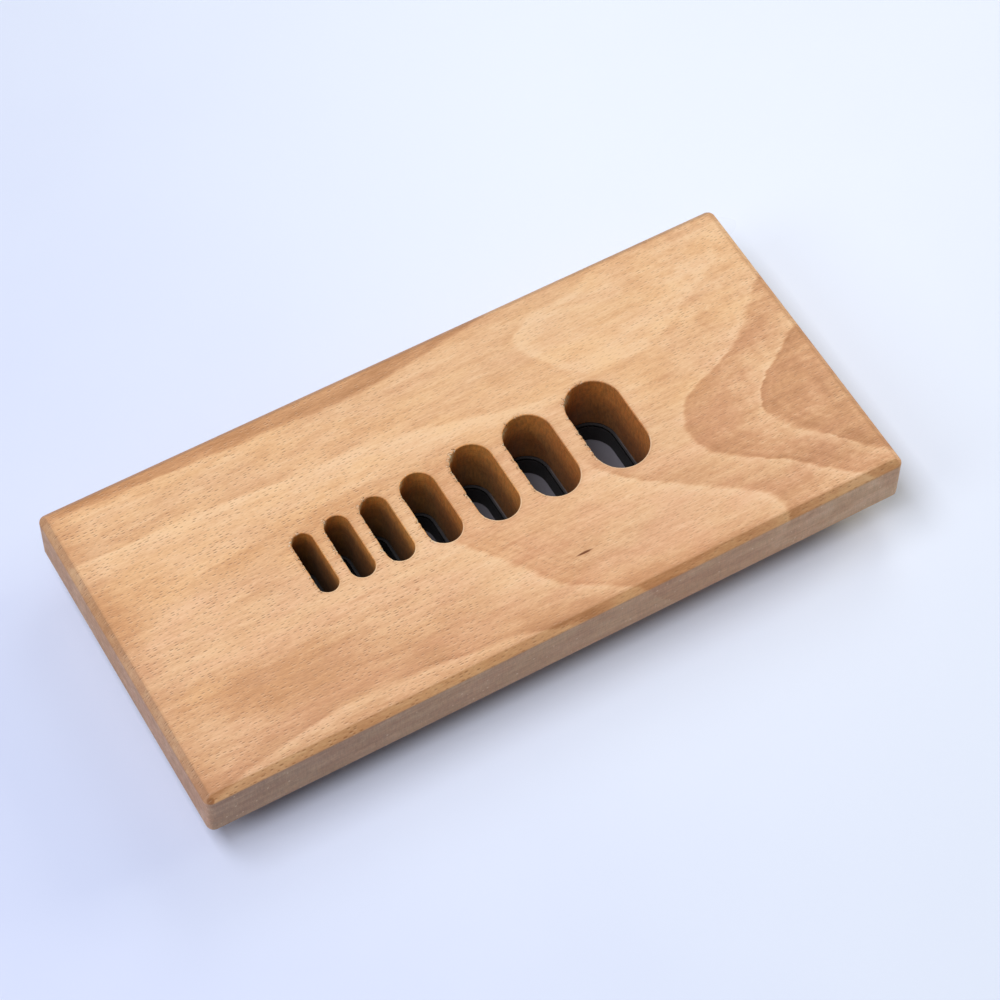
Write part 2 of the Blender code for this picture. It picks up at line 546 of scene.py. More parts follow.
def display(red, green, blue):
    """A colour as a screen shows it, 0 to 255, turned into the linear value of a shader."""
    share = np.array((red, green, blue)) / 255
    linear = np.where(share <= 0.04045, share / 12.92, ((share + 0.055) / 1.055) ** 2.4)
    return (*linear.tolist(), 1.0)


def new_material(name):
    """An empty material with a Principled shader, its wiring and the shader node."""
    material = bpy.data.materials.new(name)
    material.use_nodes = True
    shader = material.node_tree.nodes["Principled BSDF"]
    return material, Wiring(material.node_tree), shader


def new_group(name, vectors, values, outputs):
    """A shader node group with vectors and values as inputs and values as outputs."""
    tree = bpy.data.node_groups.new(name, "ShaderNodeTree")
    for label in vectors:
        tree.interface.new_socket(label, in_out="INPUT", socket_type="NodeSocketVector")
    for labels, way in ((values, "INPUT"), (outputs, "OUTPUT")):
        for label in labels:
            tree.interface.new_socket(label, in_out=way, socket_type="NodeSocketFloat")
    wiring = Wiring(tree)
    given = wiring.outputs("NodeGroupInput")
    result = wiring.put("NodeGroupOutput").inputs
    return tree, wiring, given, result


# %% [markdown]
# ## Effects that several materials share
#
# Three effects come back on several materials, so each is built once as a node group. Blotches
# change a colour slowly. Specks are small scattered spots, such as dust. Edge wear takes the value
# that the mesh holds at its edges and breaks it up with noise.

# %% Blotches, specks and edge wear
def build_blotches():
    """Slow cloudy change between -1 and 1. Stretch sets how much longer it is along x."""
    tree, w, given, result = new_group(
        "slow_blotches", ("Place",), ("Scale", "Stretch"), ("Change",))
    squeeze = w.combine(1.0 / given["Stretch"], 1.0, 1.0)
    cloud = w.noise(w.vector("MULTIPLY", given["Place"], squeeze), given["Scale"], 4.0, 0.55)
    w.feed(result["Change"], w.span(cloud, 0.25, 0.75, -1.0, 1.0, smooth=False))
    return tree


def build_specks():
    """Round spots of a set size scattered one to a cell, with a share of the cells left empty."""
    tree, w, given, result = new_group(
        "scattered_specks", ("Place",), ("Spacing", "Size", "Share"), ("Speck",))
    pitch = w.combine(given["Spacing"], given["Spacing"], given["Spacing"])
    scaled = w.vector("DIVIDE", given["Place"], pitch)
    cells = w.outputs("ShaderNodeTexVoronoi", {"Vector": scaled, "Scale": 1.0})
    lot = w.outputs("ShaderNodeSeparateColor", {0: cells["Color"]})
    away = cells["Distance"] * given["Spacing"]
    own_size = given["Size"] * (0.4 + lot[1])
    spot = w.span(away / own_size, 1.0, 0.5, smooth=False)
    chosen = w.math("LESS_THAN", lot[0], given["Share"])
    w.feed(result["Speck"], spot * chosen)
    return tree


def build_edge_wear():
    """The mesh's worn value, broken up by noise and pushed to either side by Amount."""
    tree, w, given, result = new_group(
        "edge_wear", ("Place",), ("Worn", "Scale", "Amount"), ("Wear",))
    cloud = w.noise(given["Place"], given["Scale"], 5.0, 0.65)
    limit = 1.0 - given["Amount"]
    open_places = w.span(cloud, limit * 0.7, limit + 0.1)
    w.feed(result["Wear"], given["Worn"] * open_places)
    return tree


slow_blotches = build_blotches()
scattered_specks = build_specks()
edge_wear = build_edge_wear()
print("shared effects:", [group.name for group in bpy.data.node_groups])

# %% [markdown]
# ## The figure of the wood
#
# A flat-sawn board cuts through the growth rings at a shallow angle, so they show as tongues and
# long bands. Each ring is pale where summer's wood ends and turns dark at a crisp line, then fades
# back over a centimetre or two. So a ring is a line plus a fall-off on each side of it.
#
# A line runs through a few places that were read off the photograph, in millimetres from the
# board's centre. Tongues give x for a value of y, and bands y for a value of x, and a Float Curve
# node makes a smooth function of them. Between the lines lie soft patches and three tiny knots.

# %% The ring lines
# name, runs along, first and last place where it shows, points, dark, fade, pale, fade, redness
RINGS = (
    ("inner tongue", "y", -60, 60,
     ((-50, 113), (-44, 103), (-33, 92.5), (-27, 86), (-21, 82), (-16, 81), (-9, 85.4), (-3, 94),
      (3, 103), (9, 112)), 1.38, 24, 1.0, 4.0, 0.3),
    ("outer tongue", "y", -60, 60,
     ((-50, 96), (-40, 84), (-33, 77), (-27, 67.5), (-21.5, 61.5), (-15, 59), (-9, 60.4),
      (-3.3, 64.7), (0.3, 72.6), (5.3, 84), (14, 94), (22.4, 103), (28, 110)),
     1.5, 15, 0.8, 4.0, 0.25),
    ("lower tongue", "y", -60, -8,
     ((-50, 68), (-47, 69), (-40, 66.9), (-33.3, 58.3), (-26, 48.3), (-17.6, 36.9), (-8, 30),
      (10, 28)), 0.95, 12, 1.1, 5, -0.35),
    ("red tongue", "y", -60, 13,
     ((-50, 25), (-47.6, 21.1), (-40.4, 9.7), (-34.7, 2.6), (-29, -1), (-20.4, -7.4), (-13, -12.4),
      (0, -14), (10, -10)), 0.95, 26, 0.6, 6, 1.0),
    ("near band", "x", -110, 12,
     ((-110, -51), (-89, -46.2), (-77, -43.6), (-63, -41.8), (-49, -41.8), (-34.6, -43.2),
      (-20, -45.2), (-9, -46.8), (5, -50)), 1.6, 9, 0.9, 1.6, 0.2),
    ("far band", "x", -102, 30,
     ((-110, 46), (-97.4, 45.3), (-63, 43.9), (-30, 42.1), (-6, 42.7), (8.3, 44.2), (21, 45.8),
      (34, 49)), 2.2, 12, 0.2, 5, 0.0),
    ("long streak", "x", -110, 30,
     ((-110, 30), (-97, 29.5), (-70, 28.5), (-42, 27), (-20, 25.5), (-6, 23.5), (7, 20),
      (21, 16.5), (40, 14)), 0.35, 13, 1.2, 3.2, -0.1),
    ("slot band", "x", -80, 14,
     ((-80, 11), (-53, 13.4), (-20, 15.3), (3, 15.5), (21, 17), (40, 18)),
     -0.35, 4, -0.55, 4, 0.1),
    ("pale hook", "x", 44, 110,
     ((30, 24), (38, 19.5), (44, 17), (55, 15.5), (65, 17), (80, 24), (94, 32), (101, 36.5),
      (110, 41)), -1.2, 6.0, -0.2, 6, 0.0),
    ("pale tip", "y", 19, 40,
     ((10, 52), (17.4, 44), (21, 40.5), (25.3, 37.8), (32.4, 33.3), (36.7, 33.3), (40, 37),
      (50, 52)), -2.2, 4.5, -0.6, 5, 0.0),
    ("pale lid", "x", 34, 66,
     ((20, 34), (30, 36), (40, 39.8), (50, 41), (58, 43.5), (66, 47), (76, 52)),
     0.25, 5, 1.0, 3.8, 0.0),
)

# name, centre, reach, tone, hue: 1 for ochre, -1 for rose and 0 for neither
PATCHES = (
    ("ochre round the narrow slots", (-40, 7), (32, 11), 0.6, 1.0),
    ("ochre at the left end", (-100, 12), (20, 11), 0.5, 1.0),
    ("grey at the left end", (-90, -23), (14, 9), 0.45, 0.9),
    ("ochre along the far edge", (-55, 46), (55, 7), -0.25, 0.8),
    ("tan below", (-70, -27), (24, 11), 1.1, 0.45),
    ("shade below the slots", (-30, -30), (26, 12), 0.25, 0.0),
    ("brown by the widest slot", (62, 1), (11, 9), 0.3, 1.0),
    ("brown before the tongues", (72, -13), (22, 14), 0.35, -0.2),
    ("rose between the tongues", (45, -38), (24, 12), -0.1, -0.4),
    ("dark between the tongues", (83, -37), (15, 8), 0.7, -0.2),
    ("brown by the right end", (101, -10), (9, 22), 0.5, 0.0),
)

# name, x, y and depth of the middle, reach in each, tone, darkness of its core
KNOTS = (
    ("small knot", (15.3, -32.2, 0.0), (3.2, 0.45, 1.2), 2.5, 0.9),
    ("pin knot", (-28.4, -20.5, 0.0), (0.9, 0.5, 1.0), 1.8, 0.0),
    ("knot on the near corner", (-103.5, -48.8, 1.3), (1.3, 1.3, 1.3), 5.0, 0.2),
)
HALF_X = 125.0                 # mm, the reach of a curve node's own 0 to 1 range
HALF_Y = 60.0


def build_ring_group():
    """Tone of one ring line: dark just past it, pale just before it, each fading away.

    Past the line the tone is dark * exp(-distance / fade), and before it it is
    -pale * exp(distance / fade). Noise along the line makes the crossing crisp or soft, 1 to 4 mm
    wide. Fine lines run beside it, from noise of the distance that changes slowly along the line.
    """
    tree, w, given, result = new_group(
        "ring_line", (), ("Distance", "Along", "Dark", "Dark fade", "Pale", "Pale fade"),
        ("Tone", "Past"))
    distance = given["Distance"]
    on_line = w.combine(given["Along"] * 0.05, given["Dark fade"], 0.0)
    width = w.span(w.noise(on_line, 1.0, 1.0), 0.35, 0.65, 0.5, 2.6)
    past = w.span(distance, width * -0.7, width)
    ahead = w.math("MAXIMUM", distance, 0.0) / given["Dark fade"]
    behind = w.math("MINIMUM", distance, 0.0) / given["Pale fade"]
    fading = w.math("EXPONENT", ahead * -1.0)
    rising = w.math("EXPONENT", behind)
    beside = w.combine(distance * 0.42, given["Along"] * 0.035, given["Dark fade"])
    lines = w.span(w.noise(beside, 1.0, 2.0, 0.6), 0.32, 0.68, 0.72, 1.2)
    dark = given["Dark"] * fading * past * lines
    pale = given["Pale"] * rising * (1.0 - past)
    w.feed(result["Tone"], dark - pale)
    w.feed(result["Past"], fading * past)
    return tree


def line_through(w, points, along, along_half, across_half):
    """Height of a line at a place along it, both in millimetres, by a Float Curve node."""
    curve = w.put("ShaderNodeFloatCurve")
    w.feed(curve.inputs["Value"], w.span(along, -along_half, along_half, smooth=False))
    places = np.array(points, float)
    places = (places / (along_half, across_half) + 1) / 2
    line = curve.mapping.curves[0]
    line.points[0].location = places[0]
    line.points[1].location = places[-1]
    for place in places[1:-1]:
        line.points.new(*place)
    curve.mapping.update()
    return w.span(Value(w, curve.outputs[0]), 0.0, 1.0, -across_half, across_half, smooth=False)


ring_line = build_ring_group()
print("ring lines:", [ring[0] for ring in RINGS])

# %% [markdown]
# ## Ray flecks
#
# Beech is known by its rays: on a flat-sawn face they are dark dashes along the grain, about a
# millimetre long and a quarter as wide. One dash per cell of a stretched Voronoi pattern spreads
# them evenly but never regularly. The cell's own random colour sets length and darkness.

# %% Dashes from stretched cells
def build_flecks():
    """Spindle-shaped dashes: 1 - length of the offset from the cell's point, over the dash's size.

    Place is in millimetres. Pitch is the spacing and Size the half size of a dash along x, y, z.
    """
    tree, w, given, result = new_group("ray_flecks", ("Place", "Pitch", "Size"), (), ("Fleck",))
    scaled = w.vector("DIVIDE", given["Place"], given["Pitch"])
    cells = w.outputs("ShaderNodeTexVoronoi",
                      {"Vector": scaled, "Scale": 1.0, "Randomness": 0.8})
    lot = w.outputs("ShaderNodeSeparateColor", {0: cells["Color"]})
    offset = w.vector("SUBTRACT", scaled, cells["Position"])
    offset = w.vector("MULTIPLY", offset, given["Pitch"])
    away = w.vector("LENGTH", w.vector("DIVIDE", offset, given["Size"]))
    length = away / (0.75 + lot[0] * 0.7)
    dash = w.span(length, 0.35, 1.1, 1.0, 0.0)
    w.feed(result["Fleck"], dash * w.span(lot[1], 0.0, 0.5, 0.3, 1.0))
    return tree


ray_flecks = build_flecks()

# %% [markdown]
# ## Oiled beech
#
# The wood is one solid block of pattern: every place in it has a tone, and a cut face only shows
# what is there. So the figure bends with depth around a line above the board, as rings do around
# the heart of a tree, and it carries on down the edges and the walls of the slots.
#
# Fibres are drawn by noise that is stretched along the grain. Cuts across the grain, at the two
# ends and on the slots' long walls, drink more oil and turn darker and browner. Shade is painted
# in as well: darker casts on the sides and chamfers by the way they face, painted bluish light on
# the ends, and on the slots' walls a darkening with depth.

# %% Mix the beech
PALE_WOOD = display(243, 201, 156)
PLAIN_WOOD = display(233, 185, 138)
DARK_WOOD = display(213, 158, 112)
DEEP_WOOD = display(182, 127, 82)
RED_CAST = (1.0, 0.94, 0.90, 1.0)
GREY_CAST = (0.93, 0.97, 1.03, 1.0)
OCHRE_CAST = (1.0, 0.975, 0.90, 1.0)
ROSE_CAST = (1.0, 0.965, 1.01, 1.0)
# Outer sides: their own sawn and end-grain darkening plus painted shade; the end cast adds painted
# bluish light.
END_GRAIN_AND_SHADE_CAST = (0.81, 0.86, 1.04, 1.0)
SIDE_SAWN_AND_SHADE_CAST = (0.85, 0.86, 0.86, 1.0)
# Chamfers: painted shade by the way each faces, on the ends partly the darker end grain; the
# chamfer that faces right is the lit copy.
END_CHAMFER_SHADE_CAST = (0.80, 0.81, 0.84, 1.0)
SIDE_CHAMFER_SHADE_CAST = (0.90, 0.84, 0.71, 1.0)
LIT_CHAMFER_CAST = (0.98, 0.95, 0.93, 1.0)
# Slots' walls: the rim cast is their own darker colour; the depth cast is painted shade, and the
# narrow slots' cast is painted light.
SLOT_RIM_CAST = (0.71, 0.44, 0.18, 1.0)
SLOT_DEPTH_SHADE_CAST = (0.28, 0.175, 0.085, 1.0)
NARROW_SLOT_LIGHT_CAST = (1.17, 1.36, 1.42, 1.0)
HEART_Y = -16.0                # mm, where the rings' middle lies across the board
HEART_RISE = 8.0               # mm above the top face
FADE_IN = 6.0                  # mm to either side of a ring line's first and last place

FINE_FIBRES = 1.3              # strength of the finest fibre noise
# lump size of the other fibre noises along x, y and z in mm, detail, strength
FIBRES = (
    ((1.5, 0.24, 0.24), 2.0, 2.4),
    ((24, 1.4, 1.4), 3.0, 1.8),
    ((10, 2.8, 2.8), 3.0, 2.2),
)


class Spot:
    """The place being shaded: where it is, in millimetres, and what kind of face it is on.

    End is 1 across the grain and 0 along it. Upright is 1 on the outer sides and slanted on the
    chamfers. Inner, deep and worn are the mesh's own values. Fine and fuzz are fibre noises.
    """

    def __init__(self, w):
        self.place = w.millimetres()
        self.x, self.y, height = w.parts(self.place)
        self.depth = w.math("MAXIMUM", float(board_high[2]) * 1000 - height, 0.001)
        self.facing = w.parts(w.outputs("ShaderNodeTexCoord")["Normal"])
        self.inner = w.attribute("inner")
        self.deep = w.attribute("deep")
        self.worn = w.attribute("worn")
        outer = 1.0 - self.inner
        self.upright = outer * w.span(self.facing[2], 0.25, 0.5, 1.0, 0.0)
        self.slanted = (outer - self.upright) * w.span(self.facing[2], 0.8, 0.95, 1.0, 0.0)
        sideways = [w.math("ABSOLUTE", self.facing[axis]) for axis in (0, 1)]
        total = w.math("MAXIMUM", sideways[0] + sideways[1], 0.01)
        self.end = w.span(sideways[0] / total, 0.35, 0.65)
        self.fine = w.grain(self.place, (7, 0.30, 0.30), 2.0, 0.6)
        self.fuzz = w.grain(self.place, (0.7, 0.7, 2.2), 3.0, 0.65)


def ring_space(w, at, drift):
    """Place along and across the rings, which wander and curve around the heart line.

    Noise pushes the place about, which feathers the lines. Across the grain the distance from the
    heart grows as sqrt(dy^2 + (rise + depth)^2 - rise^2), which is dy itself on the top face.
    """
    feather = w.grain(at.place, (22, 1.4, 1.4), 3.0, 0.65)
    flutter = w.grain(at.place, (14, 2.5, 2.5), 3.0, 0.6)
    sideways = (drift - 0.5) * 2.0 + (flutter - 0.5) * 1.8
    along = at.x + (feather - 0.5) * 2.6
    across = at.y + sideways - HEART_Y
    height = at.depth + HEART_RISE
    square = across * across + height * height
    away = w.math("SQRT", w.math("MAXIMUM", square - HEART_RISE ** 2, 0.0))
    side = across * across + at.depth * 0.5
    side = across / w.math("SQRT", side)
    return along, away * side + HEART_Y


def add_rings(w, along, across, tone):
    """Tone with the ring lines added, and the redness behind them.

    Lines that run along y grow faint towards the far edge.
    """
    red = 0.0
    for name, runs_along, first, last, points, dark, fade, pale, pale_fade, redness in RINGS:
        if runs_along == "y":
            line = line_through(w, points, across, HALF_Y, HALF_X)
            distance = along - line
            position = across
            strength = w.span(across, 0, 25, 1.0, 0.5)
        else:
            line = line_through(w, points, along, HALF_X, HALF_Y)
            distance = across - line
            position = along
            strength = 1.0
        ring = w.place(ring_line, Distance=distance, Along=position, Dark=dark, Dark_fade=fade,
                       Pale=pale, Pale_fade=pale_fade)
        shown = w.span(position, first - FADE_IN, first + FADE_IN)
        shown *= w.span(position, last - FADE_IN, last + FADE_IN, 1.0, 0.0)
        shown *= strength
        tone += ring["Tone"] * shown
        if redness:
            red += ring["Past"] * shown * redness
    return tone, red


def add_marks(w, at, along, across, tone, hue):
    """Tone and hue with the soft patches and knots added, and the share of the knots' cores."""
    inside = w.combine(along, across, 0.0)
    for name, centre, reach, strength, cast in PATCHES:
        patch = w.span(w.reaches(inside, (*centre, 0.0), (*reach, 1.0)), 1.25, 0.3)
        tone += patch * strength
        if cast:
            hue += patch * cast
    core = 0.0
    inside = w.combine(at.x, at.y, at.depth)
    for name, centre, reach, strength, darkness in KNOTS:
        away = w.reaches(inside, centre, reach)
        tone += w.span(away, 1.0, 0.3, 0.0, strength)
        core += w.span(away, 0.95, 0.35, 0.0, darkness)
    return tone, hue, core


def add_fibres(w, at, tone):
    """Tone with stained edges, tool marks in the slots, curly grain at the right, and fibres."""
    near = w.span(at.y, -41, -47) * w.span(at.x, 55, 85, 1.0, 0.0)
    stain = w.math("MAXIMUM", w.span(at.x, -93, -103), near)
    stain = w.math("MAXIMUM", stain, w.span(at.y, 42, 48, 0.0, 0.6))
    tone += stain * 0.8
    sweep = w.grain(at.place, (11, 11, 0.3), 3.0, 0.6)
    tooling = (sweep - 0.5) * 3.5 + (at.fuzz - 0.5) * 4.0
    tone += tooling * at.inner
    curl = w.grain(at.place, (5, 6, 6), 4.0, 0.6)
    tone += (curl - 0.5) * w.span(at.x, 50, 85, 0.0, 3.2)
    tone += (at.fine - 0.5) * FINE_FIBRES
    for size, detail, strength in FIBRES:
        cloud = w.grain(at.place, size, detail, 0.6)
        tone += (cloud - 0.5) * strength
    return tone


def wood_colour(w, tone, red, hue, grey):
    """Colour of a tone: pale at -1, plain at 0, dark at 1.2 and deep at 3, with casts on top."""
    dark_side = w.mix(w.span(tone, 1.2, 3.0, smooth=False), DARK_WOOD, DEEP_WOOD)
    colour = w.mix(w.span(tone, 0.0, 1.2, smooth=False), PLAIN_WOOD, dark_side)
    colour = w.mix(w.span(tone, -1.0, 0.0, 1.0, 0.0, smooth=False), colour, PALE_WOOD)
    for value, strength, cast in ((red, 0.75, RED_CAST), (hue, 1.0, OCHRE_CAST),
                                  (hue, -1.0, ROSE_CAST), (grey, 0.5, GREY_CAST)):
        colour = w.tint(value * strength, colour, cast)
    return colour


def add_flecks(w, at, colour):
    """Colour with ray flecks, each with a painted highlight on its near side, and the flecks
    themselves.
    """
    crowd = w.span(w.grain(at.place, (20, 9, 9), 2.0), 0.35, 0.65, 0.65, 1.0)
    level = w.span(w.math("ABSOLUTE", at.facing[2]), 0.3, 0.6, 0.2, 1.0)
    strength = w.span(at.x, -35, 10, 1.0, 0.52) + w.span(at.x, 60, 85, 0.0, 0.2)
    crowd *= level * strength
    dashes = {"Pitch": (1.8, 0.72, 5.0), "Size": (0.6, 0.15, 2.0)}
    # The second set of dashes, shifted a quarter millimetre, is a painted highlight on the near
    # side of each fleck, where its edge would catch the light.
    beside = w.vector("ADD", at.place, (0.0, 0.25, 0.0))
    fleck = w.place(ray_flecks, Place=at.place, **dashes)["Fleck"] * crowd
    fleck_highlight = w.place(ray_flecks, Place=beside, **dashes)["Fleck"] * crowd
    colour = w.mix(fleck_highlight * 0.25, colour, display(252, 226, 190))
    colour = w.mix(fleck * 0.82, colour, display(158, 102, 58))
    return colour, fleck


def cast_faces(w, at, colour):
    """Colour with the casts of the sawn sides, chamfers and slots' walls, much of it painted shade,
    and specks.
    """
    sawn = w.grain(at.place, (0.35, 3.0, 2.0), 3.0, 0.7)
    streaks = w.grain(at.place, (14, 14, 0.9), 4.0, 0.65)
    # Painted shade: the long sides darken towards the left, and a little towards the right end.
    leftward_shade = w.span(at.x, 70, -70, 0.0, 0.27, smooth=False) * (1.0 - at.end)
    sawn_streaks_and_shade = w.span(sawn, 0.3, 0.7, 1.07, 0.91) * w.span(streaks, 0.3, 0.7, 0.95, 1.06)
    sawn_streaks_and_shade = sawn_streaks_and_shade - leftward_shade - w.span(at.x, 40, 85, 0.0, 0.06)
    side = w.mix(at.end, SIDE_SAWN_AND_SHADE_CAST, END_GRAIN_AND_SHADE_CAST)

    # Painted shade on the chamfers, deeper towards the right end; on the ends partly the darker end
    # grain too; the chamfer facing right keeps nearly the top's light.
    chamfer = w.tint(1.0, SIDE_CHAMFER_SHADE_CAST, w.span(at.x, 20, 90, 1.0, 0.90))
    chamfer = w.mix(at.end, chamfer, END_CHAMFER_SHADE_CAST)
    chamfer = w.mix(w.span(at.facing[0], 0.3, 0.6), chamfer, LIT_CHAMFER_CAST)

    # Slots' walls: own darker colour and tool grit, then painted shade that deepens with depth for
    # the slot's width; on the narrow slots painted light lifts and greys it.
    grit_and_depth_shade = w.span(at.fuzz, 0.3, 0.7, 0.72, 1.28) * w.span(at.deep, 0.8, 2.4, 1.0, 0.45)
    slot = w.mix(w.span(at.deep, 0.0, 1.0), SLOT_RIM_CAST, SLOT_DEPTH_SHADE_CAST)
    slot = w.tint(1.0, slot, grit_and_depth_shade)
    slot = w.tint(w.span(at.x, 34, 12), slot, NARROW_SLOT_LIGHT_CAST)

    for share, cast in ((at.upright, sawn_streaks_and_shade), (at.upright, side), (at.slanted, chamfer),
                        (at.inner, slot)):
        colour = w.tint(share, colour, cast)
    specks = w.place(scattered_specks, Place=at.place, Spacing=1.5, Size=0.26,
                     Share=0.4)["Speck"]
    return w.mix(specks * at.upright * 0.45, colour, display(250, 226, 186))


def add_wear(w, at, colour):
    """Colour with rubbed edges, scuffs, a painted highlight on the slots' near rims, and chips; and
    split wood.
    """
    in_slot = w.span(at.inner, 0.0, 0.5)
    wear = w.place(edge_wear, Worn=at.worn, Place=at.place, Scale=1.6, Amount=0.55)["Wear"]
    wear *= w.span(at.inner, 0.0, 0.5, 0.9, 0.35)
    rubbed = w.mix(in_slot, display(186, 134, 90), display(250, 224, 190))
    scuffs = w.span(at.deep, 0.45, 0.08) * w.span(at.facing[0], 0.3, 0.6)
    scuffs *= w.span(w.noise(at.place, 0.8, 5.0, 0.75), 0.45, 0.53)
    scuffs *= at.inner * 0.85
    # Painted highlight: a pale brim on the near rims of the slots, where they face the light.
    rim_highlight = w.span(at.depth, 0.3, 0.1) * in_slot
    rim_highlight *= w.span(at.y, -7, -10, 0.0, 0.5)
    split = w.span(at.worn, 0.45, 0.7)
    chips = w.noise(at.place, 2.6, 3.0, 0.7)
    for share, shade in (
            (wear, rubbed),
            (scuffs, display(212, 200, 168)),
            (rim_highlight, display(250, 224, 186)),
            (split * w.span(chips, 0.48, 0.38), display(92, 60, 34)),
            (split * w.span(chips, 0.55, 0.62), display(226, 214, 192))):
        colour = w.mix(share, colour, shade)
    return colour, split


def build_beech():
    """Beech as one block of pattern in object space, put together by the functions above."""
    material, w, shader = new_material("oiled_beech_figure")
    at = Spot(w)
    drift = w.grain(at.place, (38, 24, 24), 2.0)
    along, across = ring_space(w, at, drift)
    tone, red = add_rings(w, along, across, (drift - 0.5) * 0.8)
    cloud = w.grain(at.place, (16, 7, 7), 2.0)
    hue = w.span(across, 4, 15, -0.25, 0.35) + w.span(cloud, 0.3, 0.7, -0.5, 0.5)
    tone, hue, core = add_marks(w, at, along, across, tone, hue)
    tone = add_fibres(w, at, tone * (1.0 - at.upright * 0.6))

    blotch = w.place(slow_blotches, Place=at.place, Scale=1 / 28, Stretch=2.2)["Change"]
    colour = wood_colour(w, tone, red, hue, blotch)
    colour, fleck = add_flecks(w, at, colour)
    colour = w.mix(core, colour, display(104, 52, 18))
    colour = cast_faces(w, at, colour)
    colour, split = add_wear(w, at, colour)
    w.feed(shader.inputs["Base Color"], colour)

    rough = 0.42 + at.fine * 0.16
    rough += at.end * 0.2
    rough += w.math("MAXIMUM", split, core) * 0.4
    w.feed(shader.inputs["Roughness"], rough)
    height = at.fine * 0.35 - fleck * 0.5
    bump = w.outputs("ShaderNodeBump", {"Height": height, "Strength": 0.5, "Distance": 0.00008})
    w.feed(shader.inputs["Normal"], bump["Normal"])
    return material


beech = build_beech()
board = build_board(beech)
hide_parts("beech_board")
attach(board, "root")

# %% [markdown]
# ## Black rubber
#
# Dense rubber has a dull, faintly cloudy skin with the odd grain of dust. Its cut edges are
# rubbed a shade greyer.

# %% Mix the rubber and fit the pad
def dusty_skin(w, place, cloud_size, shades, dust_size, dust_share, dust):
    """Colour between two shades in slow blotches, with specks of dust, and the blotches."""
    blotch = w.place(slow_blotches, Place=place, Scale=1 / cloud_size, Stretch=1.0)["Change"]
    speck = w.place(scattered_specks, Place=place, Spacing=dust_size[0], Size=dust_size[1],
                    Share=dust_share[0])["Speck"]
    colour = w.mix(w.span(blotch, -1.0, 1.0), display(*shades[0]), display(*shades[1]))
    return w.mix(speck * dust_share[1], colour, display(*dust)), blotch


def build_rubber():
    """Near-black skin with blotches, dust and rubbed edges, and a fine grainy bump."""
    material, w, shader = new_material("black_rubber_skin")
    place = w.millimetres()
    colour, _ = dusty_skin(w, place, 6, ((27, 25, 24), (40, 38, 37)), (1.4, 0.12), (0.3, 0.4),
                           (120, 116, 112))
    worn = w.attribute("worn")
    wear = w.place(edge_wear, Worn=worn, Place=place, Scale=0.8, Amount=0.5)["Wear"]
    colour = w.mix(wear * 0.35, colour, display(84, 82, 80))
    w.feed(shader.inputs["Base Color"], colour)
    grain = w.noise(place, 5.0, 3.0, 0.6)
    w.feed(shader.inputs["Roughness"], 0.5 + grain * 0.3)
    bump = w.outputs("ShaderNodeBump", {"Height": grain, "Strength": 0.4, "Distance": 0.0001})
    w.feed(shader.inputs["Normal"], bump["Normal"])
    return material


pad = build_layer("black_base_pad", pad_low, pad_high, PAD_CORNER, PAD_EDGE, build_rubber())
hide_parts("base_pad")
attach(pad, "root")

# %% [markdown]
# ## The adhesive sheet
#
# Between pad and wood lies a thin adhesive sheet. Only the ledges show, at the foot of each slot.
# They are black with rubber dust from the cutter, and with painted shade towards the slots'
# far ends and in the narrow slots; just a hair of clean grey adhesive shows along the foot of
# the wood.

# %% Model the sheet and mix the adhesive
SHEET_EDGE = 0.0001
CLEAN_FROM = 0.0005            # where the soiling of the ledge starts to give way to clean film


def build_adhesive():
    """Grey-brown film with dust, black where the mesh's inner value rises at a slot, with painted
    shade.
    """
    material, w, shader = new_material("grey_adhesive_film")
    place = w.millimetres()
    colour, blotch = dusty_skin(w, place, 3, ((84, 74, 72), (104, 92, 88)), (0.9, 0.1), (0.4, 0.5),
                                (150, 140, 130))
    inner = w.attribute("inner")
    ragged = inner + w.noise(place, 2.5, 3.0) * 0.12
    part = w.parts(place)
    # Black from dust where the inner value rises; painted shade blackens the ledges towards the
    # narrow slots on the left and towards the slots' far ends.
    dust_and_painted_shade = w.math("MAXIMUM", w.span(ragged, 0.06, 0.16), w.span(part[0], 10, -14, 0.3, 1.0))
    dust_and_painted_shade = w.math("MAXIMUM", dust_and_painted_shade, w.span(part[1], 4, 8, 0.0, 0.85))
    colour = w.mix(dust_and_painted_shade, colour, display(32, 28, 27))
    w.feed(shader.inputs["Base Color"], colour)
    w.feed(shader.inputs["Roughness"], w.span(blotch, -1.0, 1.0, 0.45, 0.65))
    return material


sheet_low, sheet_high = (np.array(corner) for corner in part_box("bonding_sheet"))
sheet_corner = PAD_CORNER - (sheet_low[0] - pad_low[0])
sheet = build_layer("grey_adhesive_sheet", sheet_low, sheet_high, sheet_corner, SHEET_EDGE,
                    build_adhesive(), margin=CLEAN_FROM)
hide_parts("bonding_sheet")
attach(sheet, "root")

# %% [markdown]
# ## The table
#
# The board lies on a smooth, bluish white table that runs out of the picture on every side. It
# is a gently glossy sheet, so the front edge of the board is faintly mirrored in it.

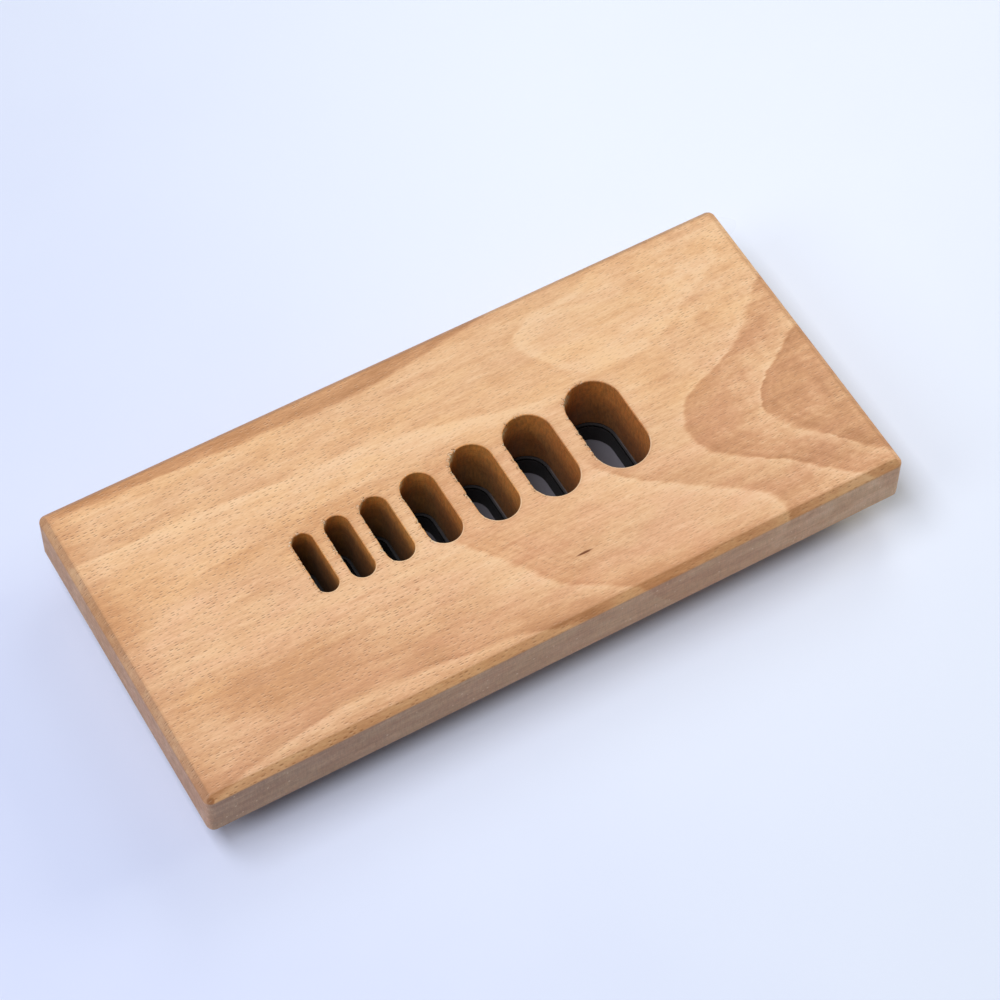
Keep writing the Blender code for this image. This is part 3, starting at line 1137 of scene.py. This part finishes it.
# %% Lay the table
def build_table_top():
    """Bluish white, with painted shade darker towards the left and grey under the pad; soft gloss.
    """
    material, w, shader = new_material("white_table_top")
    place = w.outputs("ShaderNodeTexCoord")["Object"]
    part = w.parts(place)
    blotch = w.place(slow_blotches, Place=place, Scale=6.0, Stretch=1.0)["Change"]
    # Painted shade: the table darkens towards the left, with a slowly wobbling border.
    sweep = part[0] + blotch * 0.03
    colour = w.mix(w.span(sweep, -0.26, 0.10), display(214, 221, 247), display(234, 241, 255))
    # Painted shade: grey under the pad, where the slots show the table.
    painted_shade_under_pad = w.span(w.math("ABSOLUTE", part[0]), 0.088, 0.094, 1.0, 0.0)
    painted_shade_under_pad *= w.span(w.math("ABSOLUTE", part[1]), 0.033, 0.039, 1.0, 0.0)
    colour = w.mix(painted_shade_under_pad, colour, display(118, 114, 118))
    w.feed(shader.inputs["Base Color"], colour)
    w.feed(shader.inputs["Roughness"], w.span(blotch, -1.0, 1.0, 0.26, 0.34))
    return material


def build_table(material, half_size=3.0):
    """A flat square at the height that the object stands on."""
    corners = np.array(((-1, -1, 0), (1, -1, 0), (1, 1, 0), (-1, 1, 0))) * half_size
    mesh = bpy.data.meshes.new("table")
    mesh.from_pydata(corners.tolist(), [], [(0, 1, 2, 3)])
    mesh.materials.append(material)
    return add_object("table", mesh)


table = build_table(build_table_top())

# %% [markdown]
# ## Light
#
# The main lamp is a long one, high up on the left, so the shadow by the near side is narrow and
# soft. A low warm lamp on the right throws the wide faint shadow on the left, and two weaker ones
# lighten the left-hand and far sides. A pale blue world fills in the rest.

# %% Set the lamps and the world
AIM_OF_LIGHT = Vector((0.0, 0.0, 0.01))


def add_lamp(name, place, size, strength, colour):
    """Oblong area lamp that looks at the board. Strength 1 is full light on a face square to it.

    A lamp of P watts at distance d gives such a face P / (pi * d)^2 of full light.
    """
    data = bpy.data.lights.new(name, "AREA")
    data.shape = "RECTANGLE"
    data.size, data.size_y = size
    away = AIM_OF_LIGHT - Vector(place)
    data.energy = strength * (math.pi * away.length) ** 2
    data.color = colour
    lamp = add_object(name, data)
    lamp.location = place
    lamp.rotation_mode = "QUATERNION"
    lamp.rotation_quaternion = away.to_track_quat("-Z", "Y")
    return lamp


def lamp_place(towards_right, towards_back, distance):
    """Place at a distance from the board, off straight above by two angles in degrees."""
    right, back = (math.tan(math.radians(angle)) for angle in (towards_right, towards_back))
    return AIM_OF_LIGHT + Vector((right, back, 1.0)).normalized() * distance


add_lamp("main_lamp", lamp_place(-19, -1, 1.3), (1.15, 0.46), 0.75, (0.90, 0.92, 1.0))
add_lamp("left_lamp", lamp_place(-48, -5, 1.2), (0.5, 0.5), 0.165, (1.0, 1.0, 1.0))
add_lamp("right_lamp", lamp_place(62, 0, 1.2), (0.6, 0.5), 0.34, (1.0, 0.91, 0.68))
add_lamp("back_lamp", lamp_place(35, 40, 1.2), (0.5, 0.5), 0.13, (1.0, 0.98, 0.95))

world = bpy.data.worlds.new("studio")
world.use_nodes = True
background = world.node_tree.nodes["Background"]
background.inputs["Color"].default_value = (0.74, 0.85, 1.0, 1.0)
background.inputs["Strength"].default_value = 0.16
bpy.context.scene.world = world
bpy.context.scene.view_settings.view_transform = "Standard"
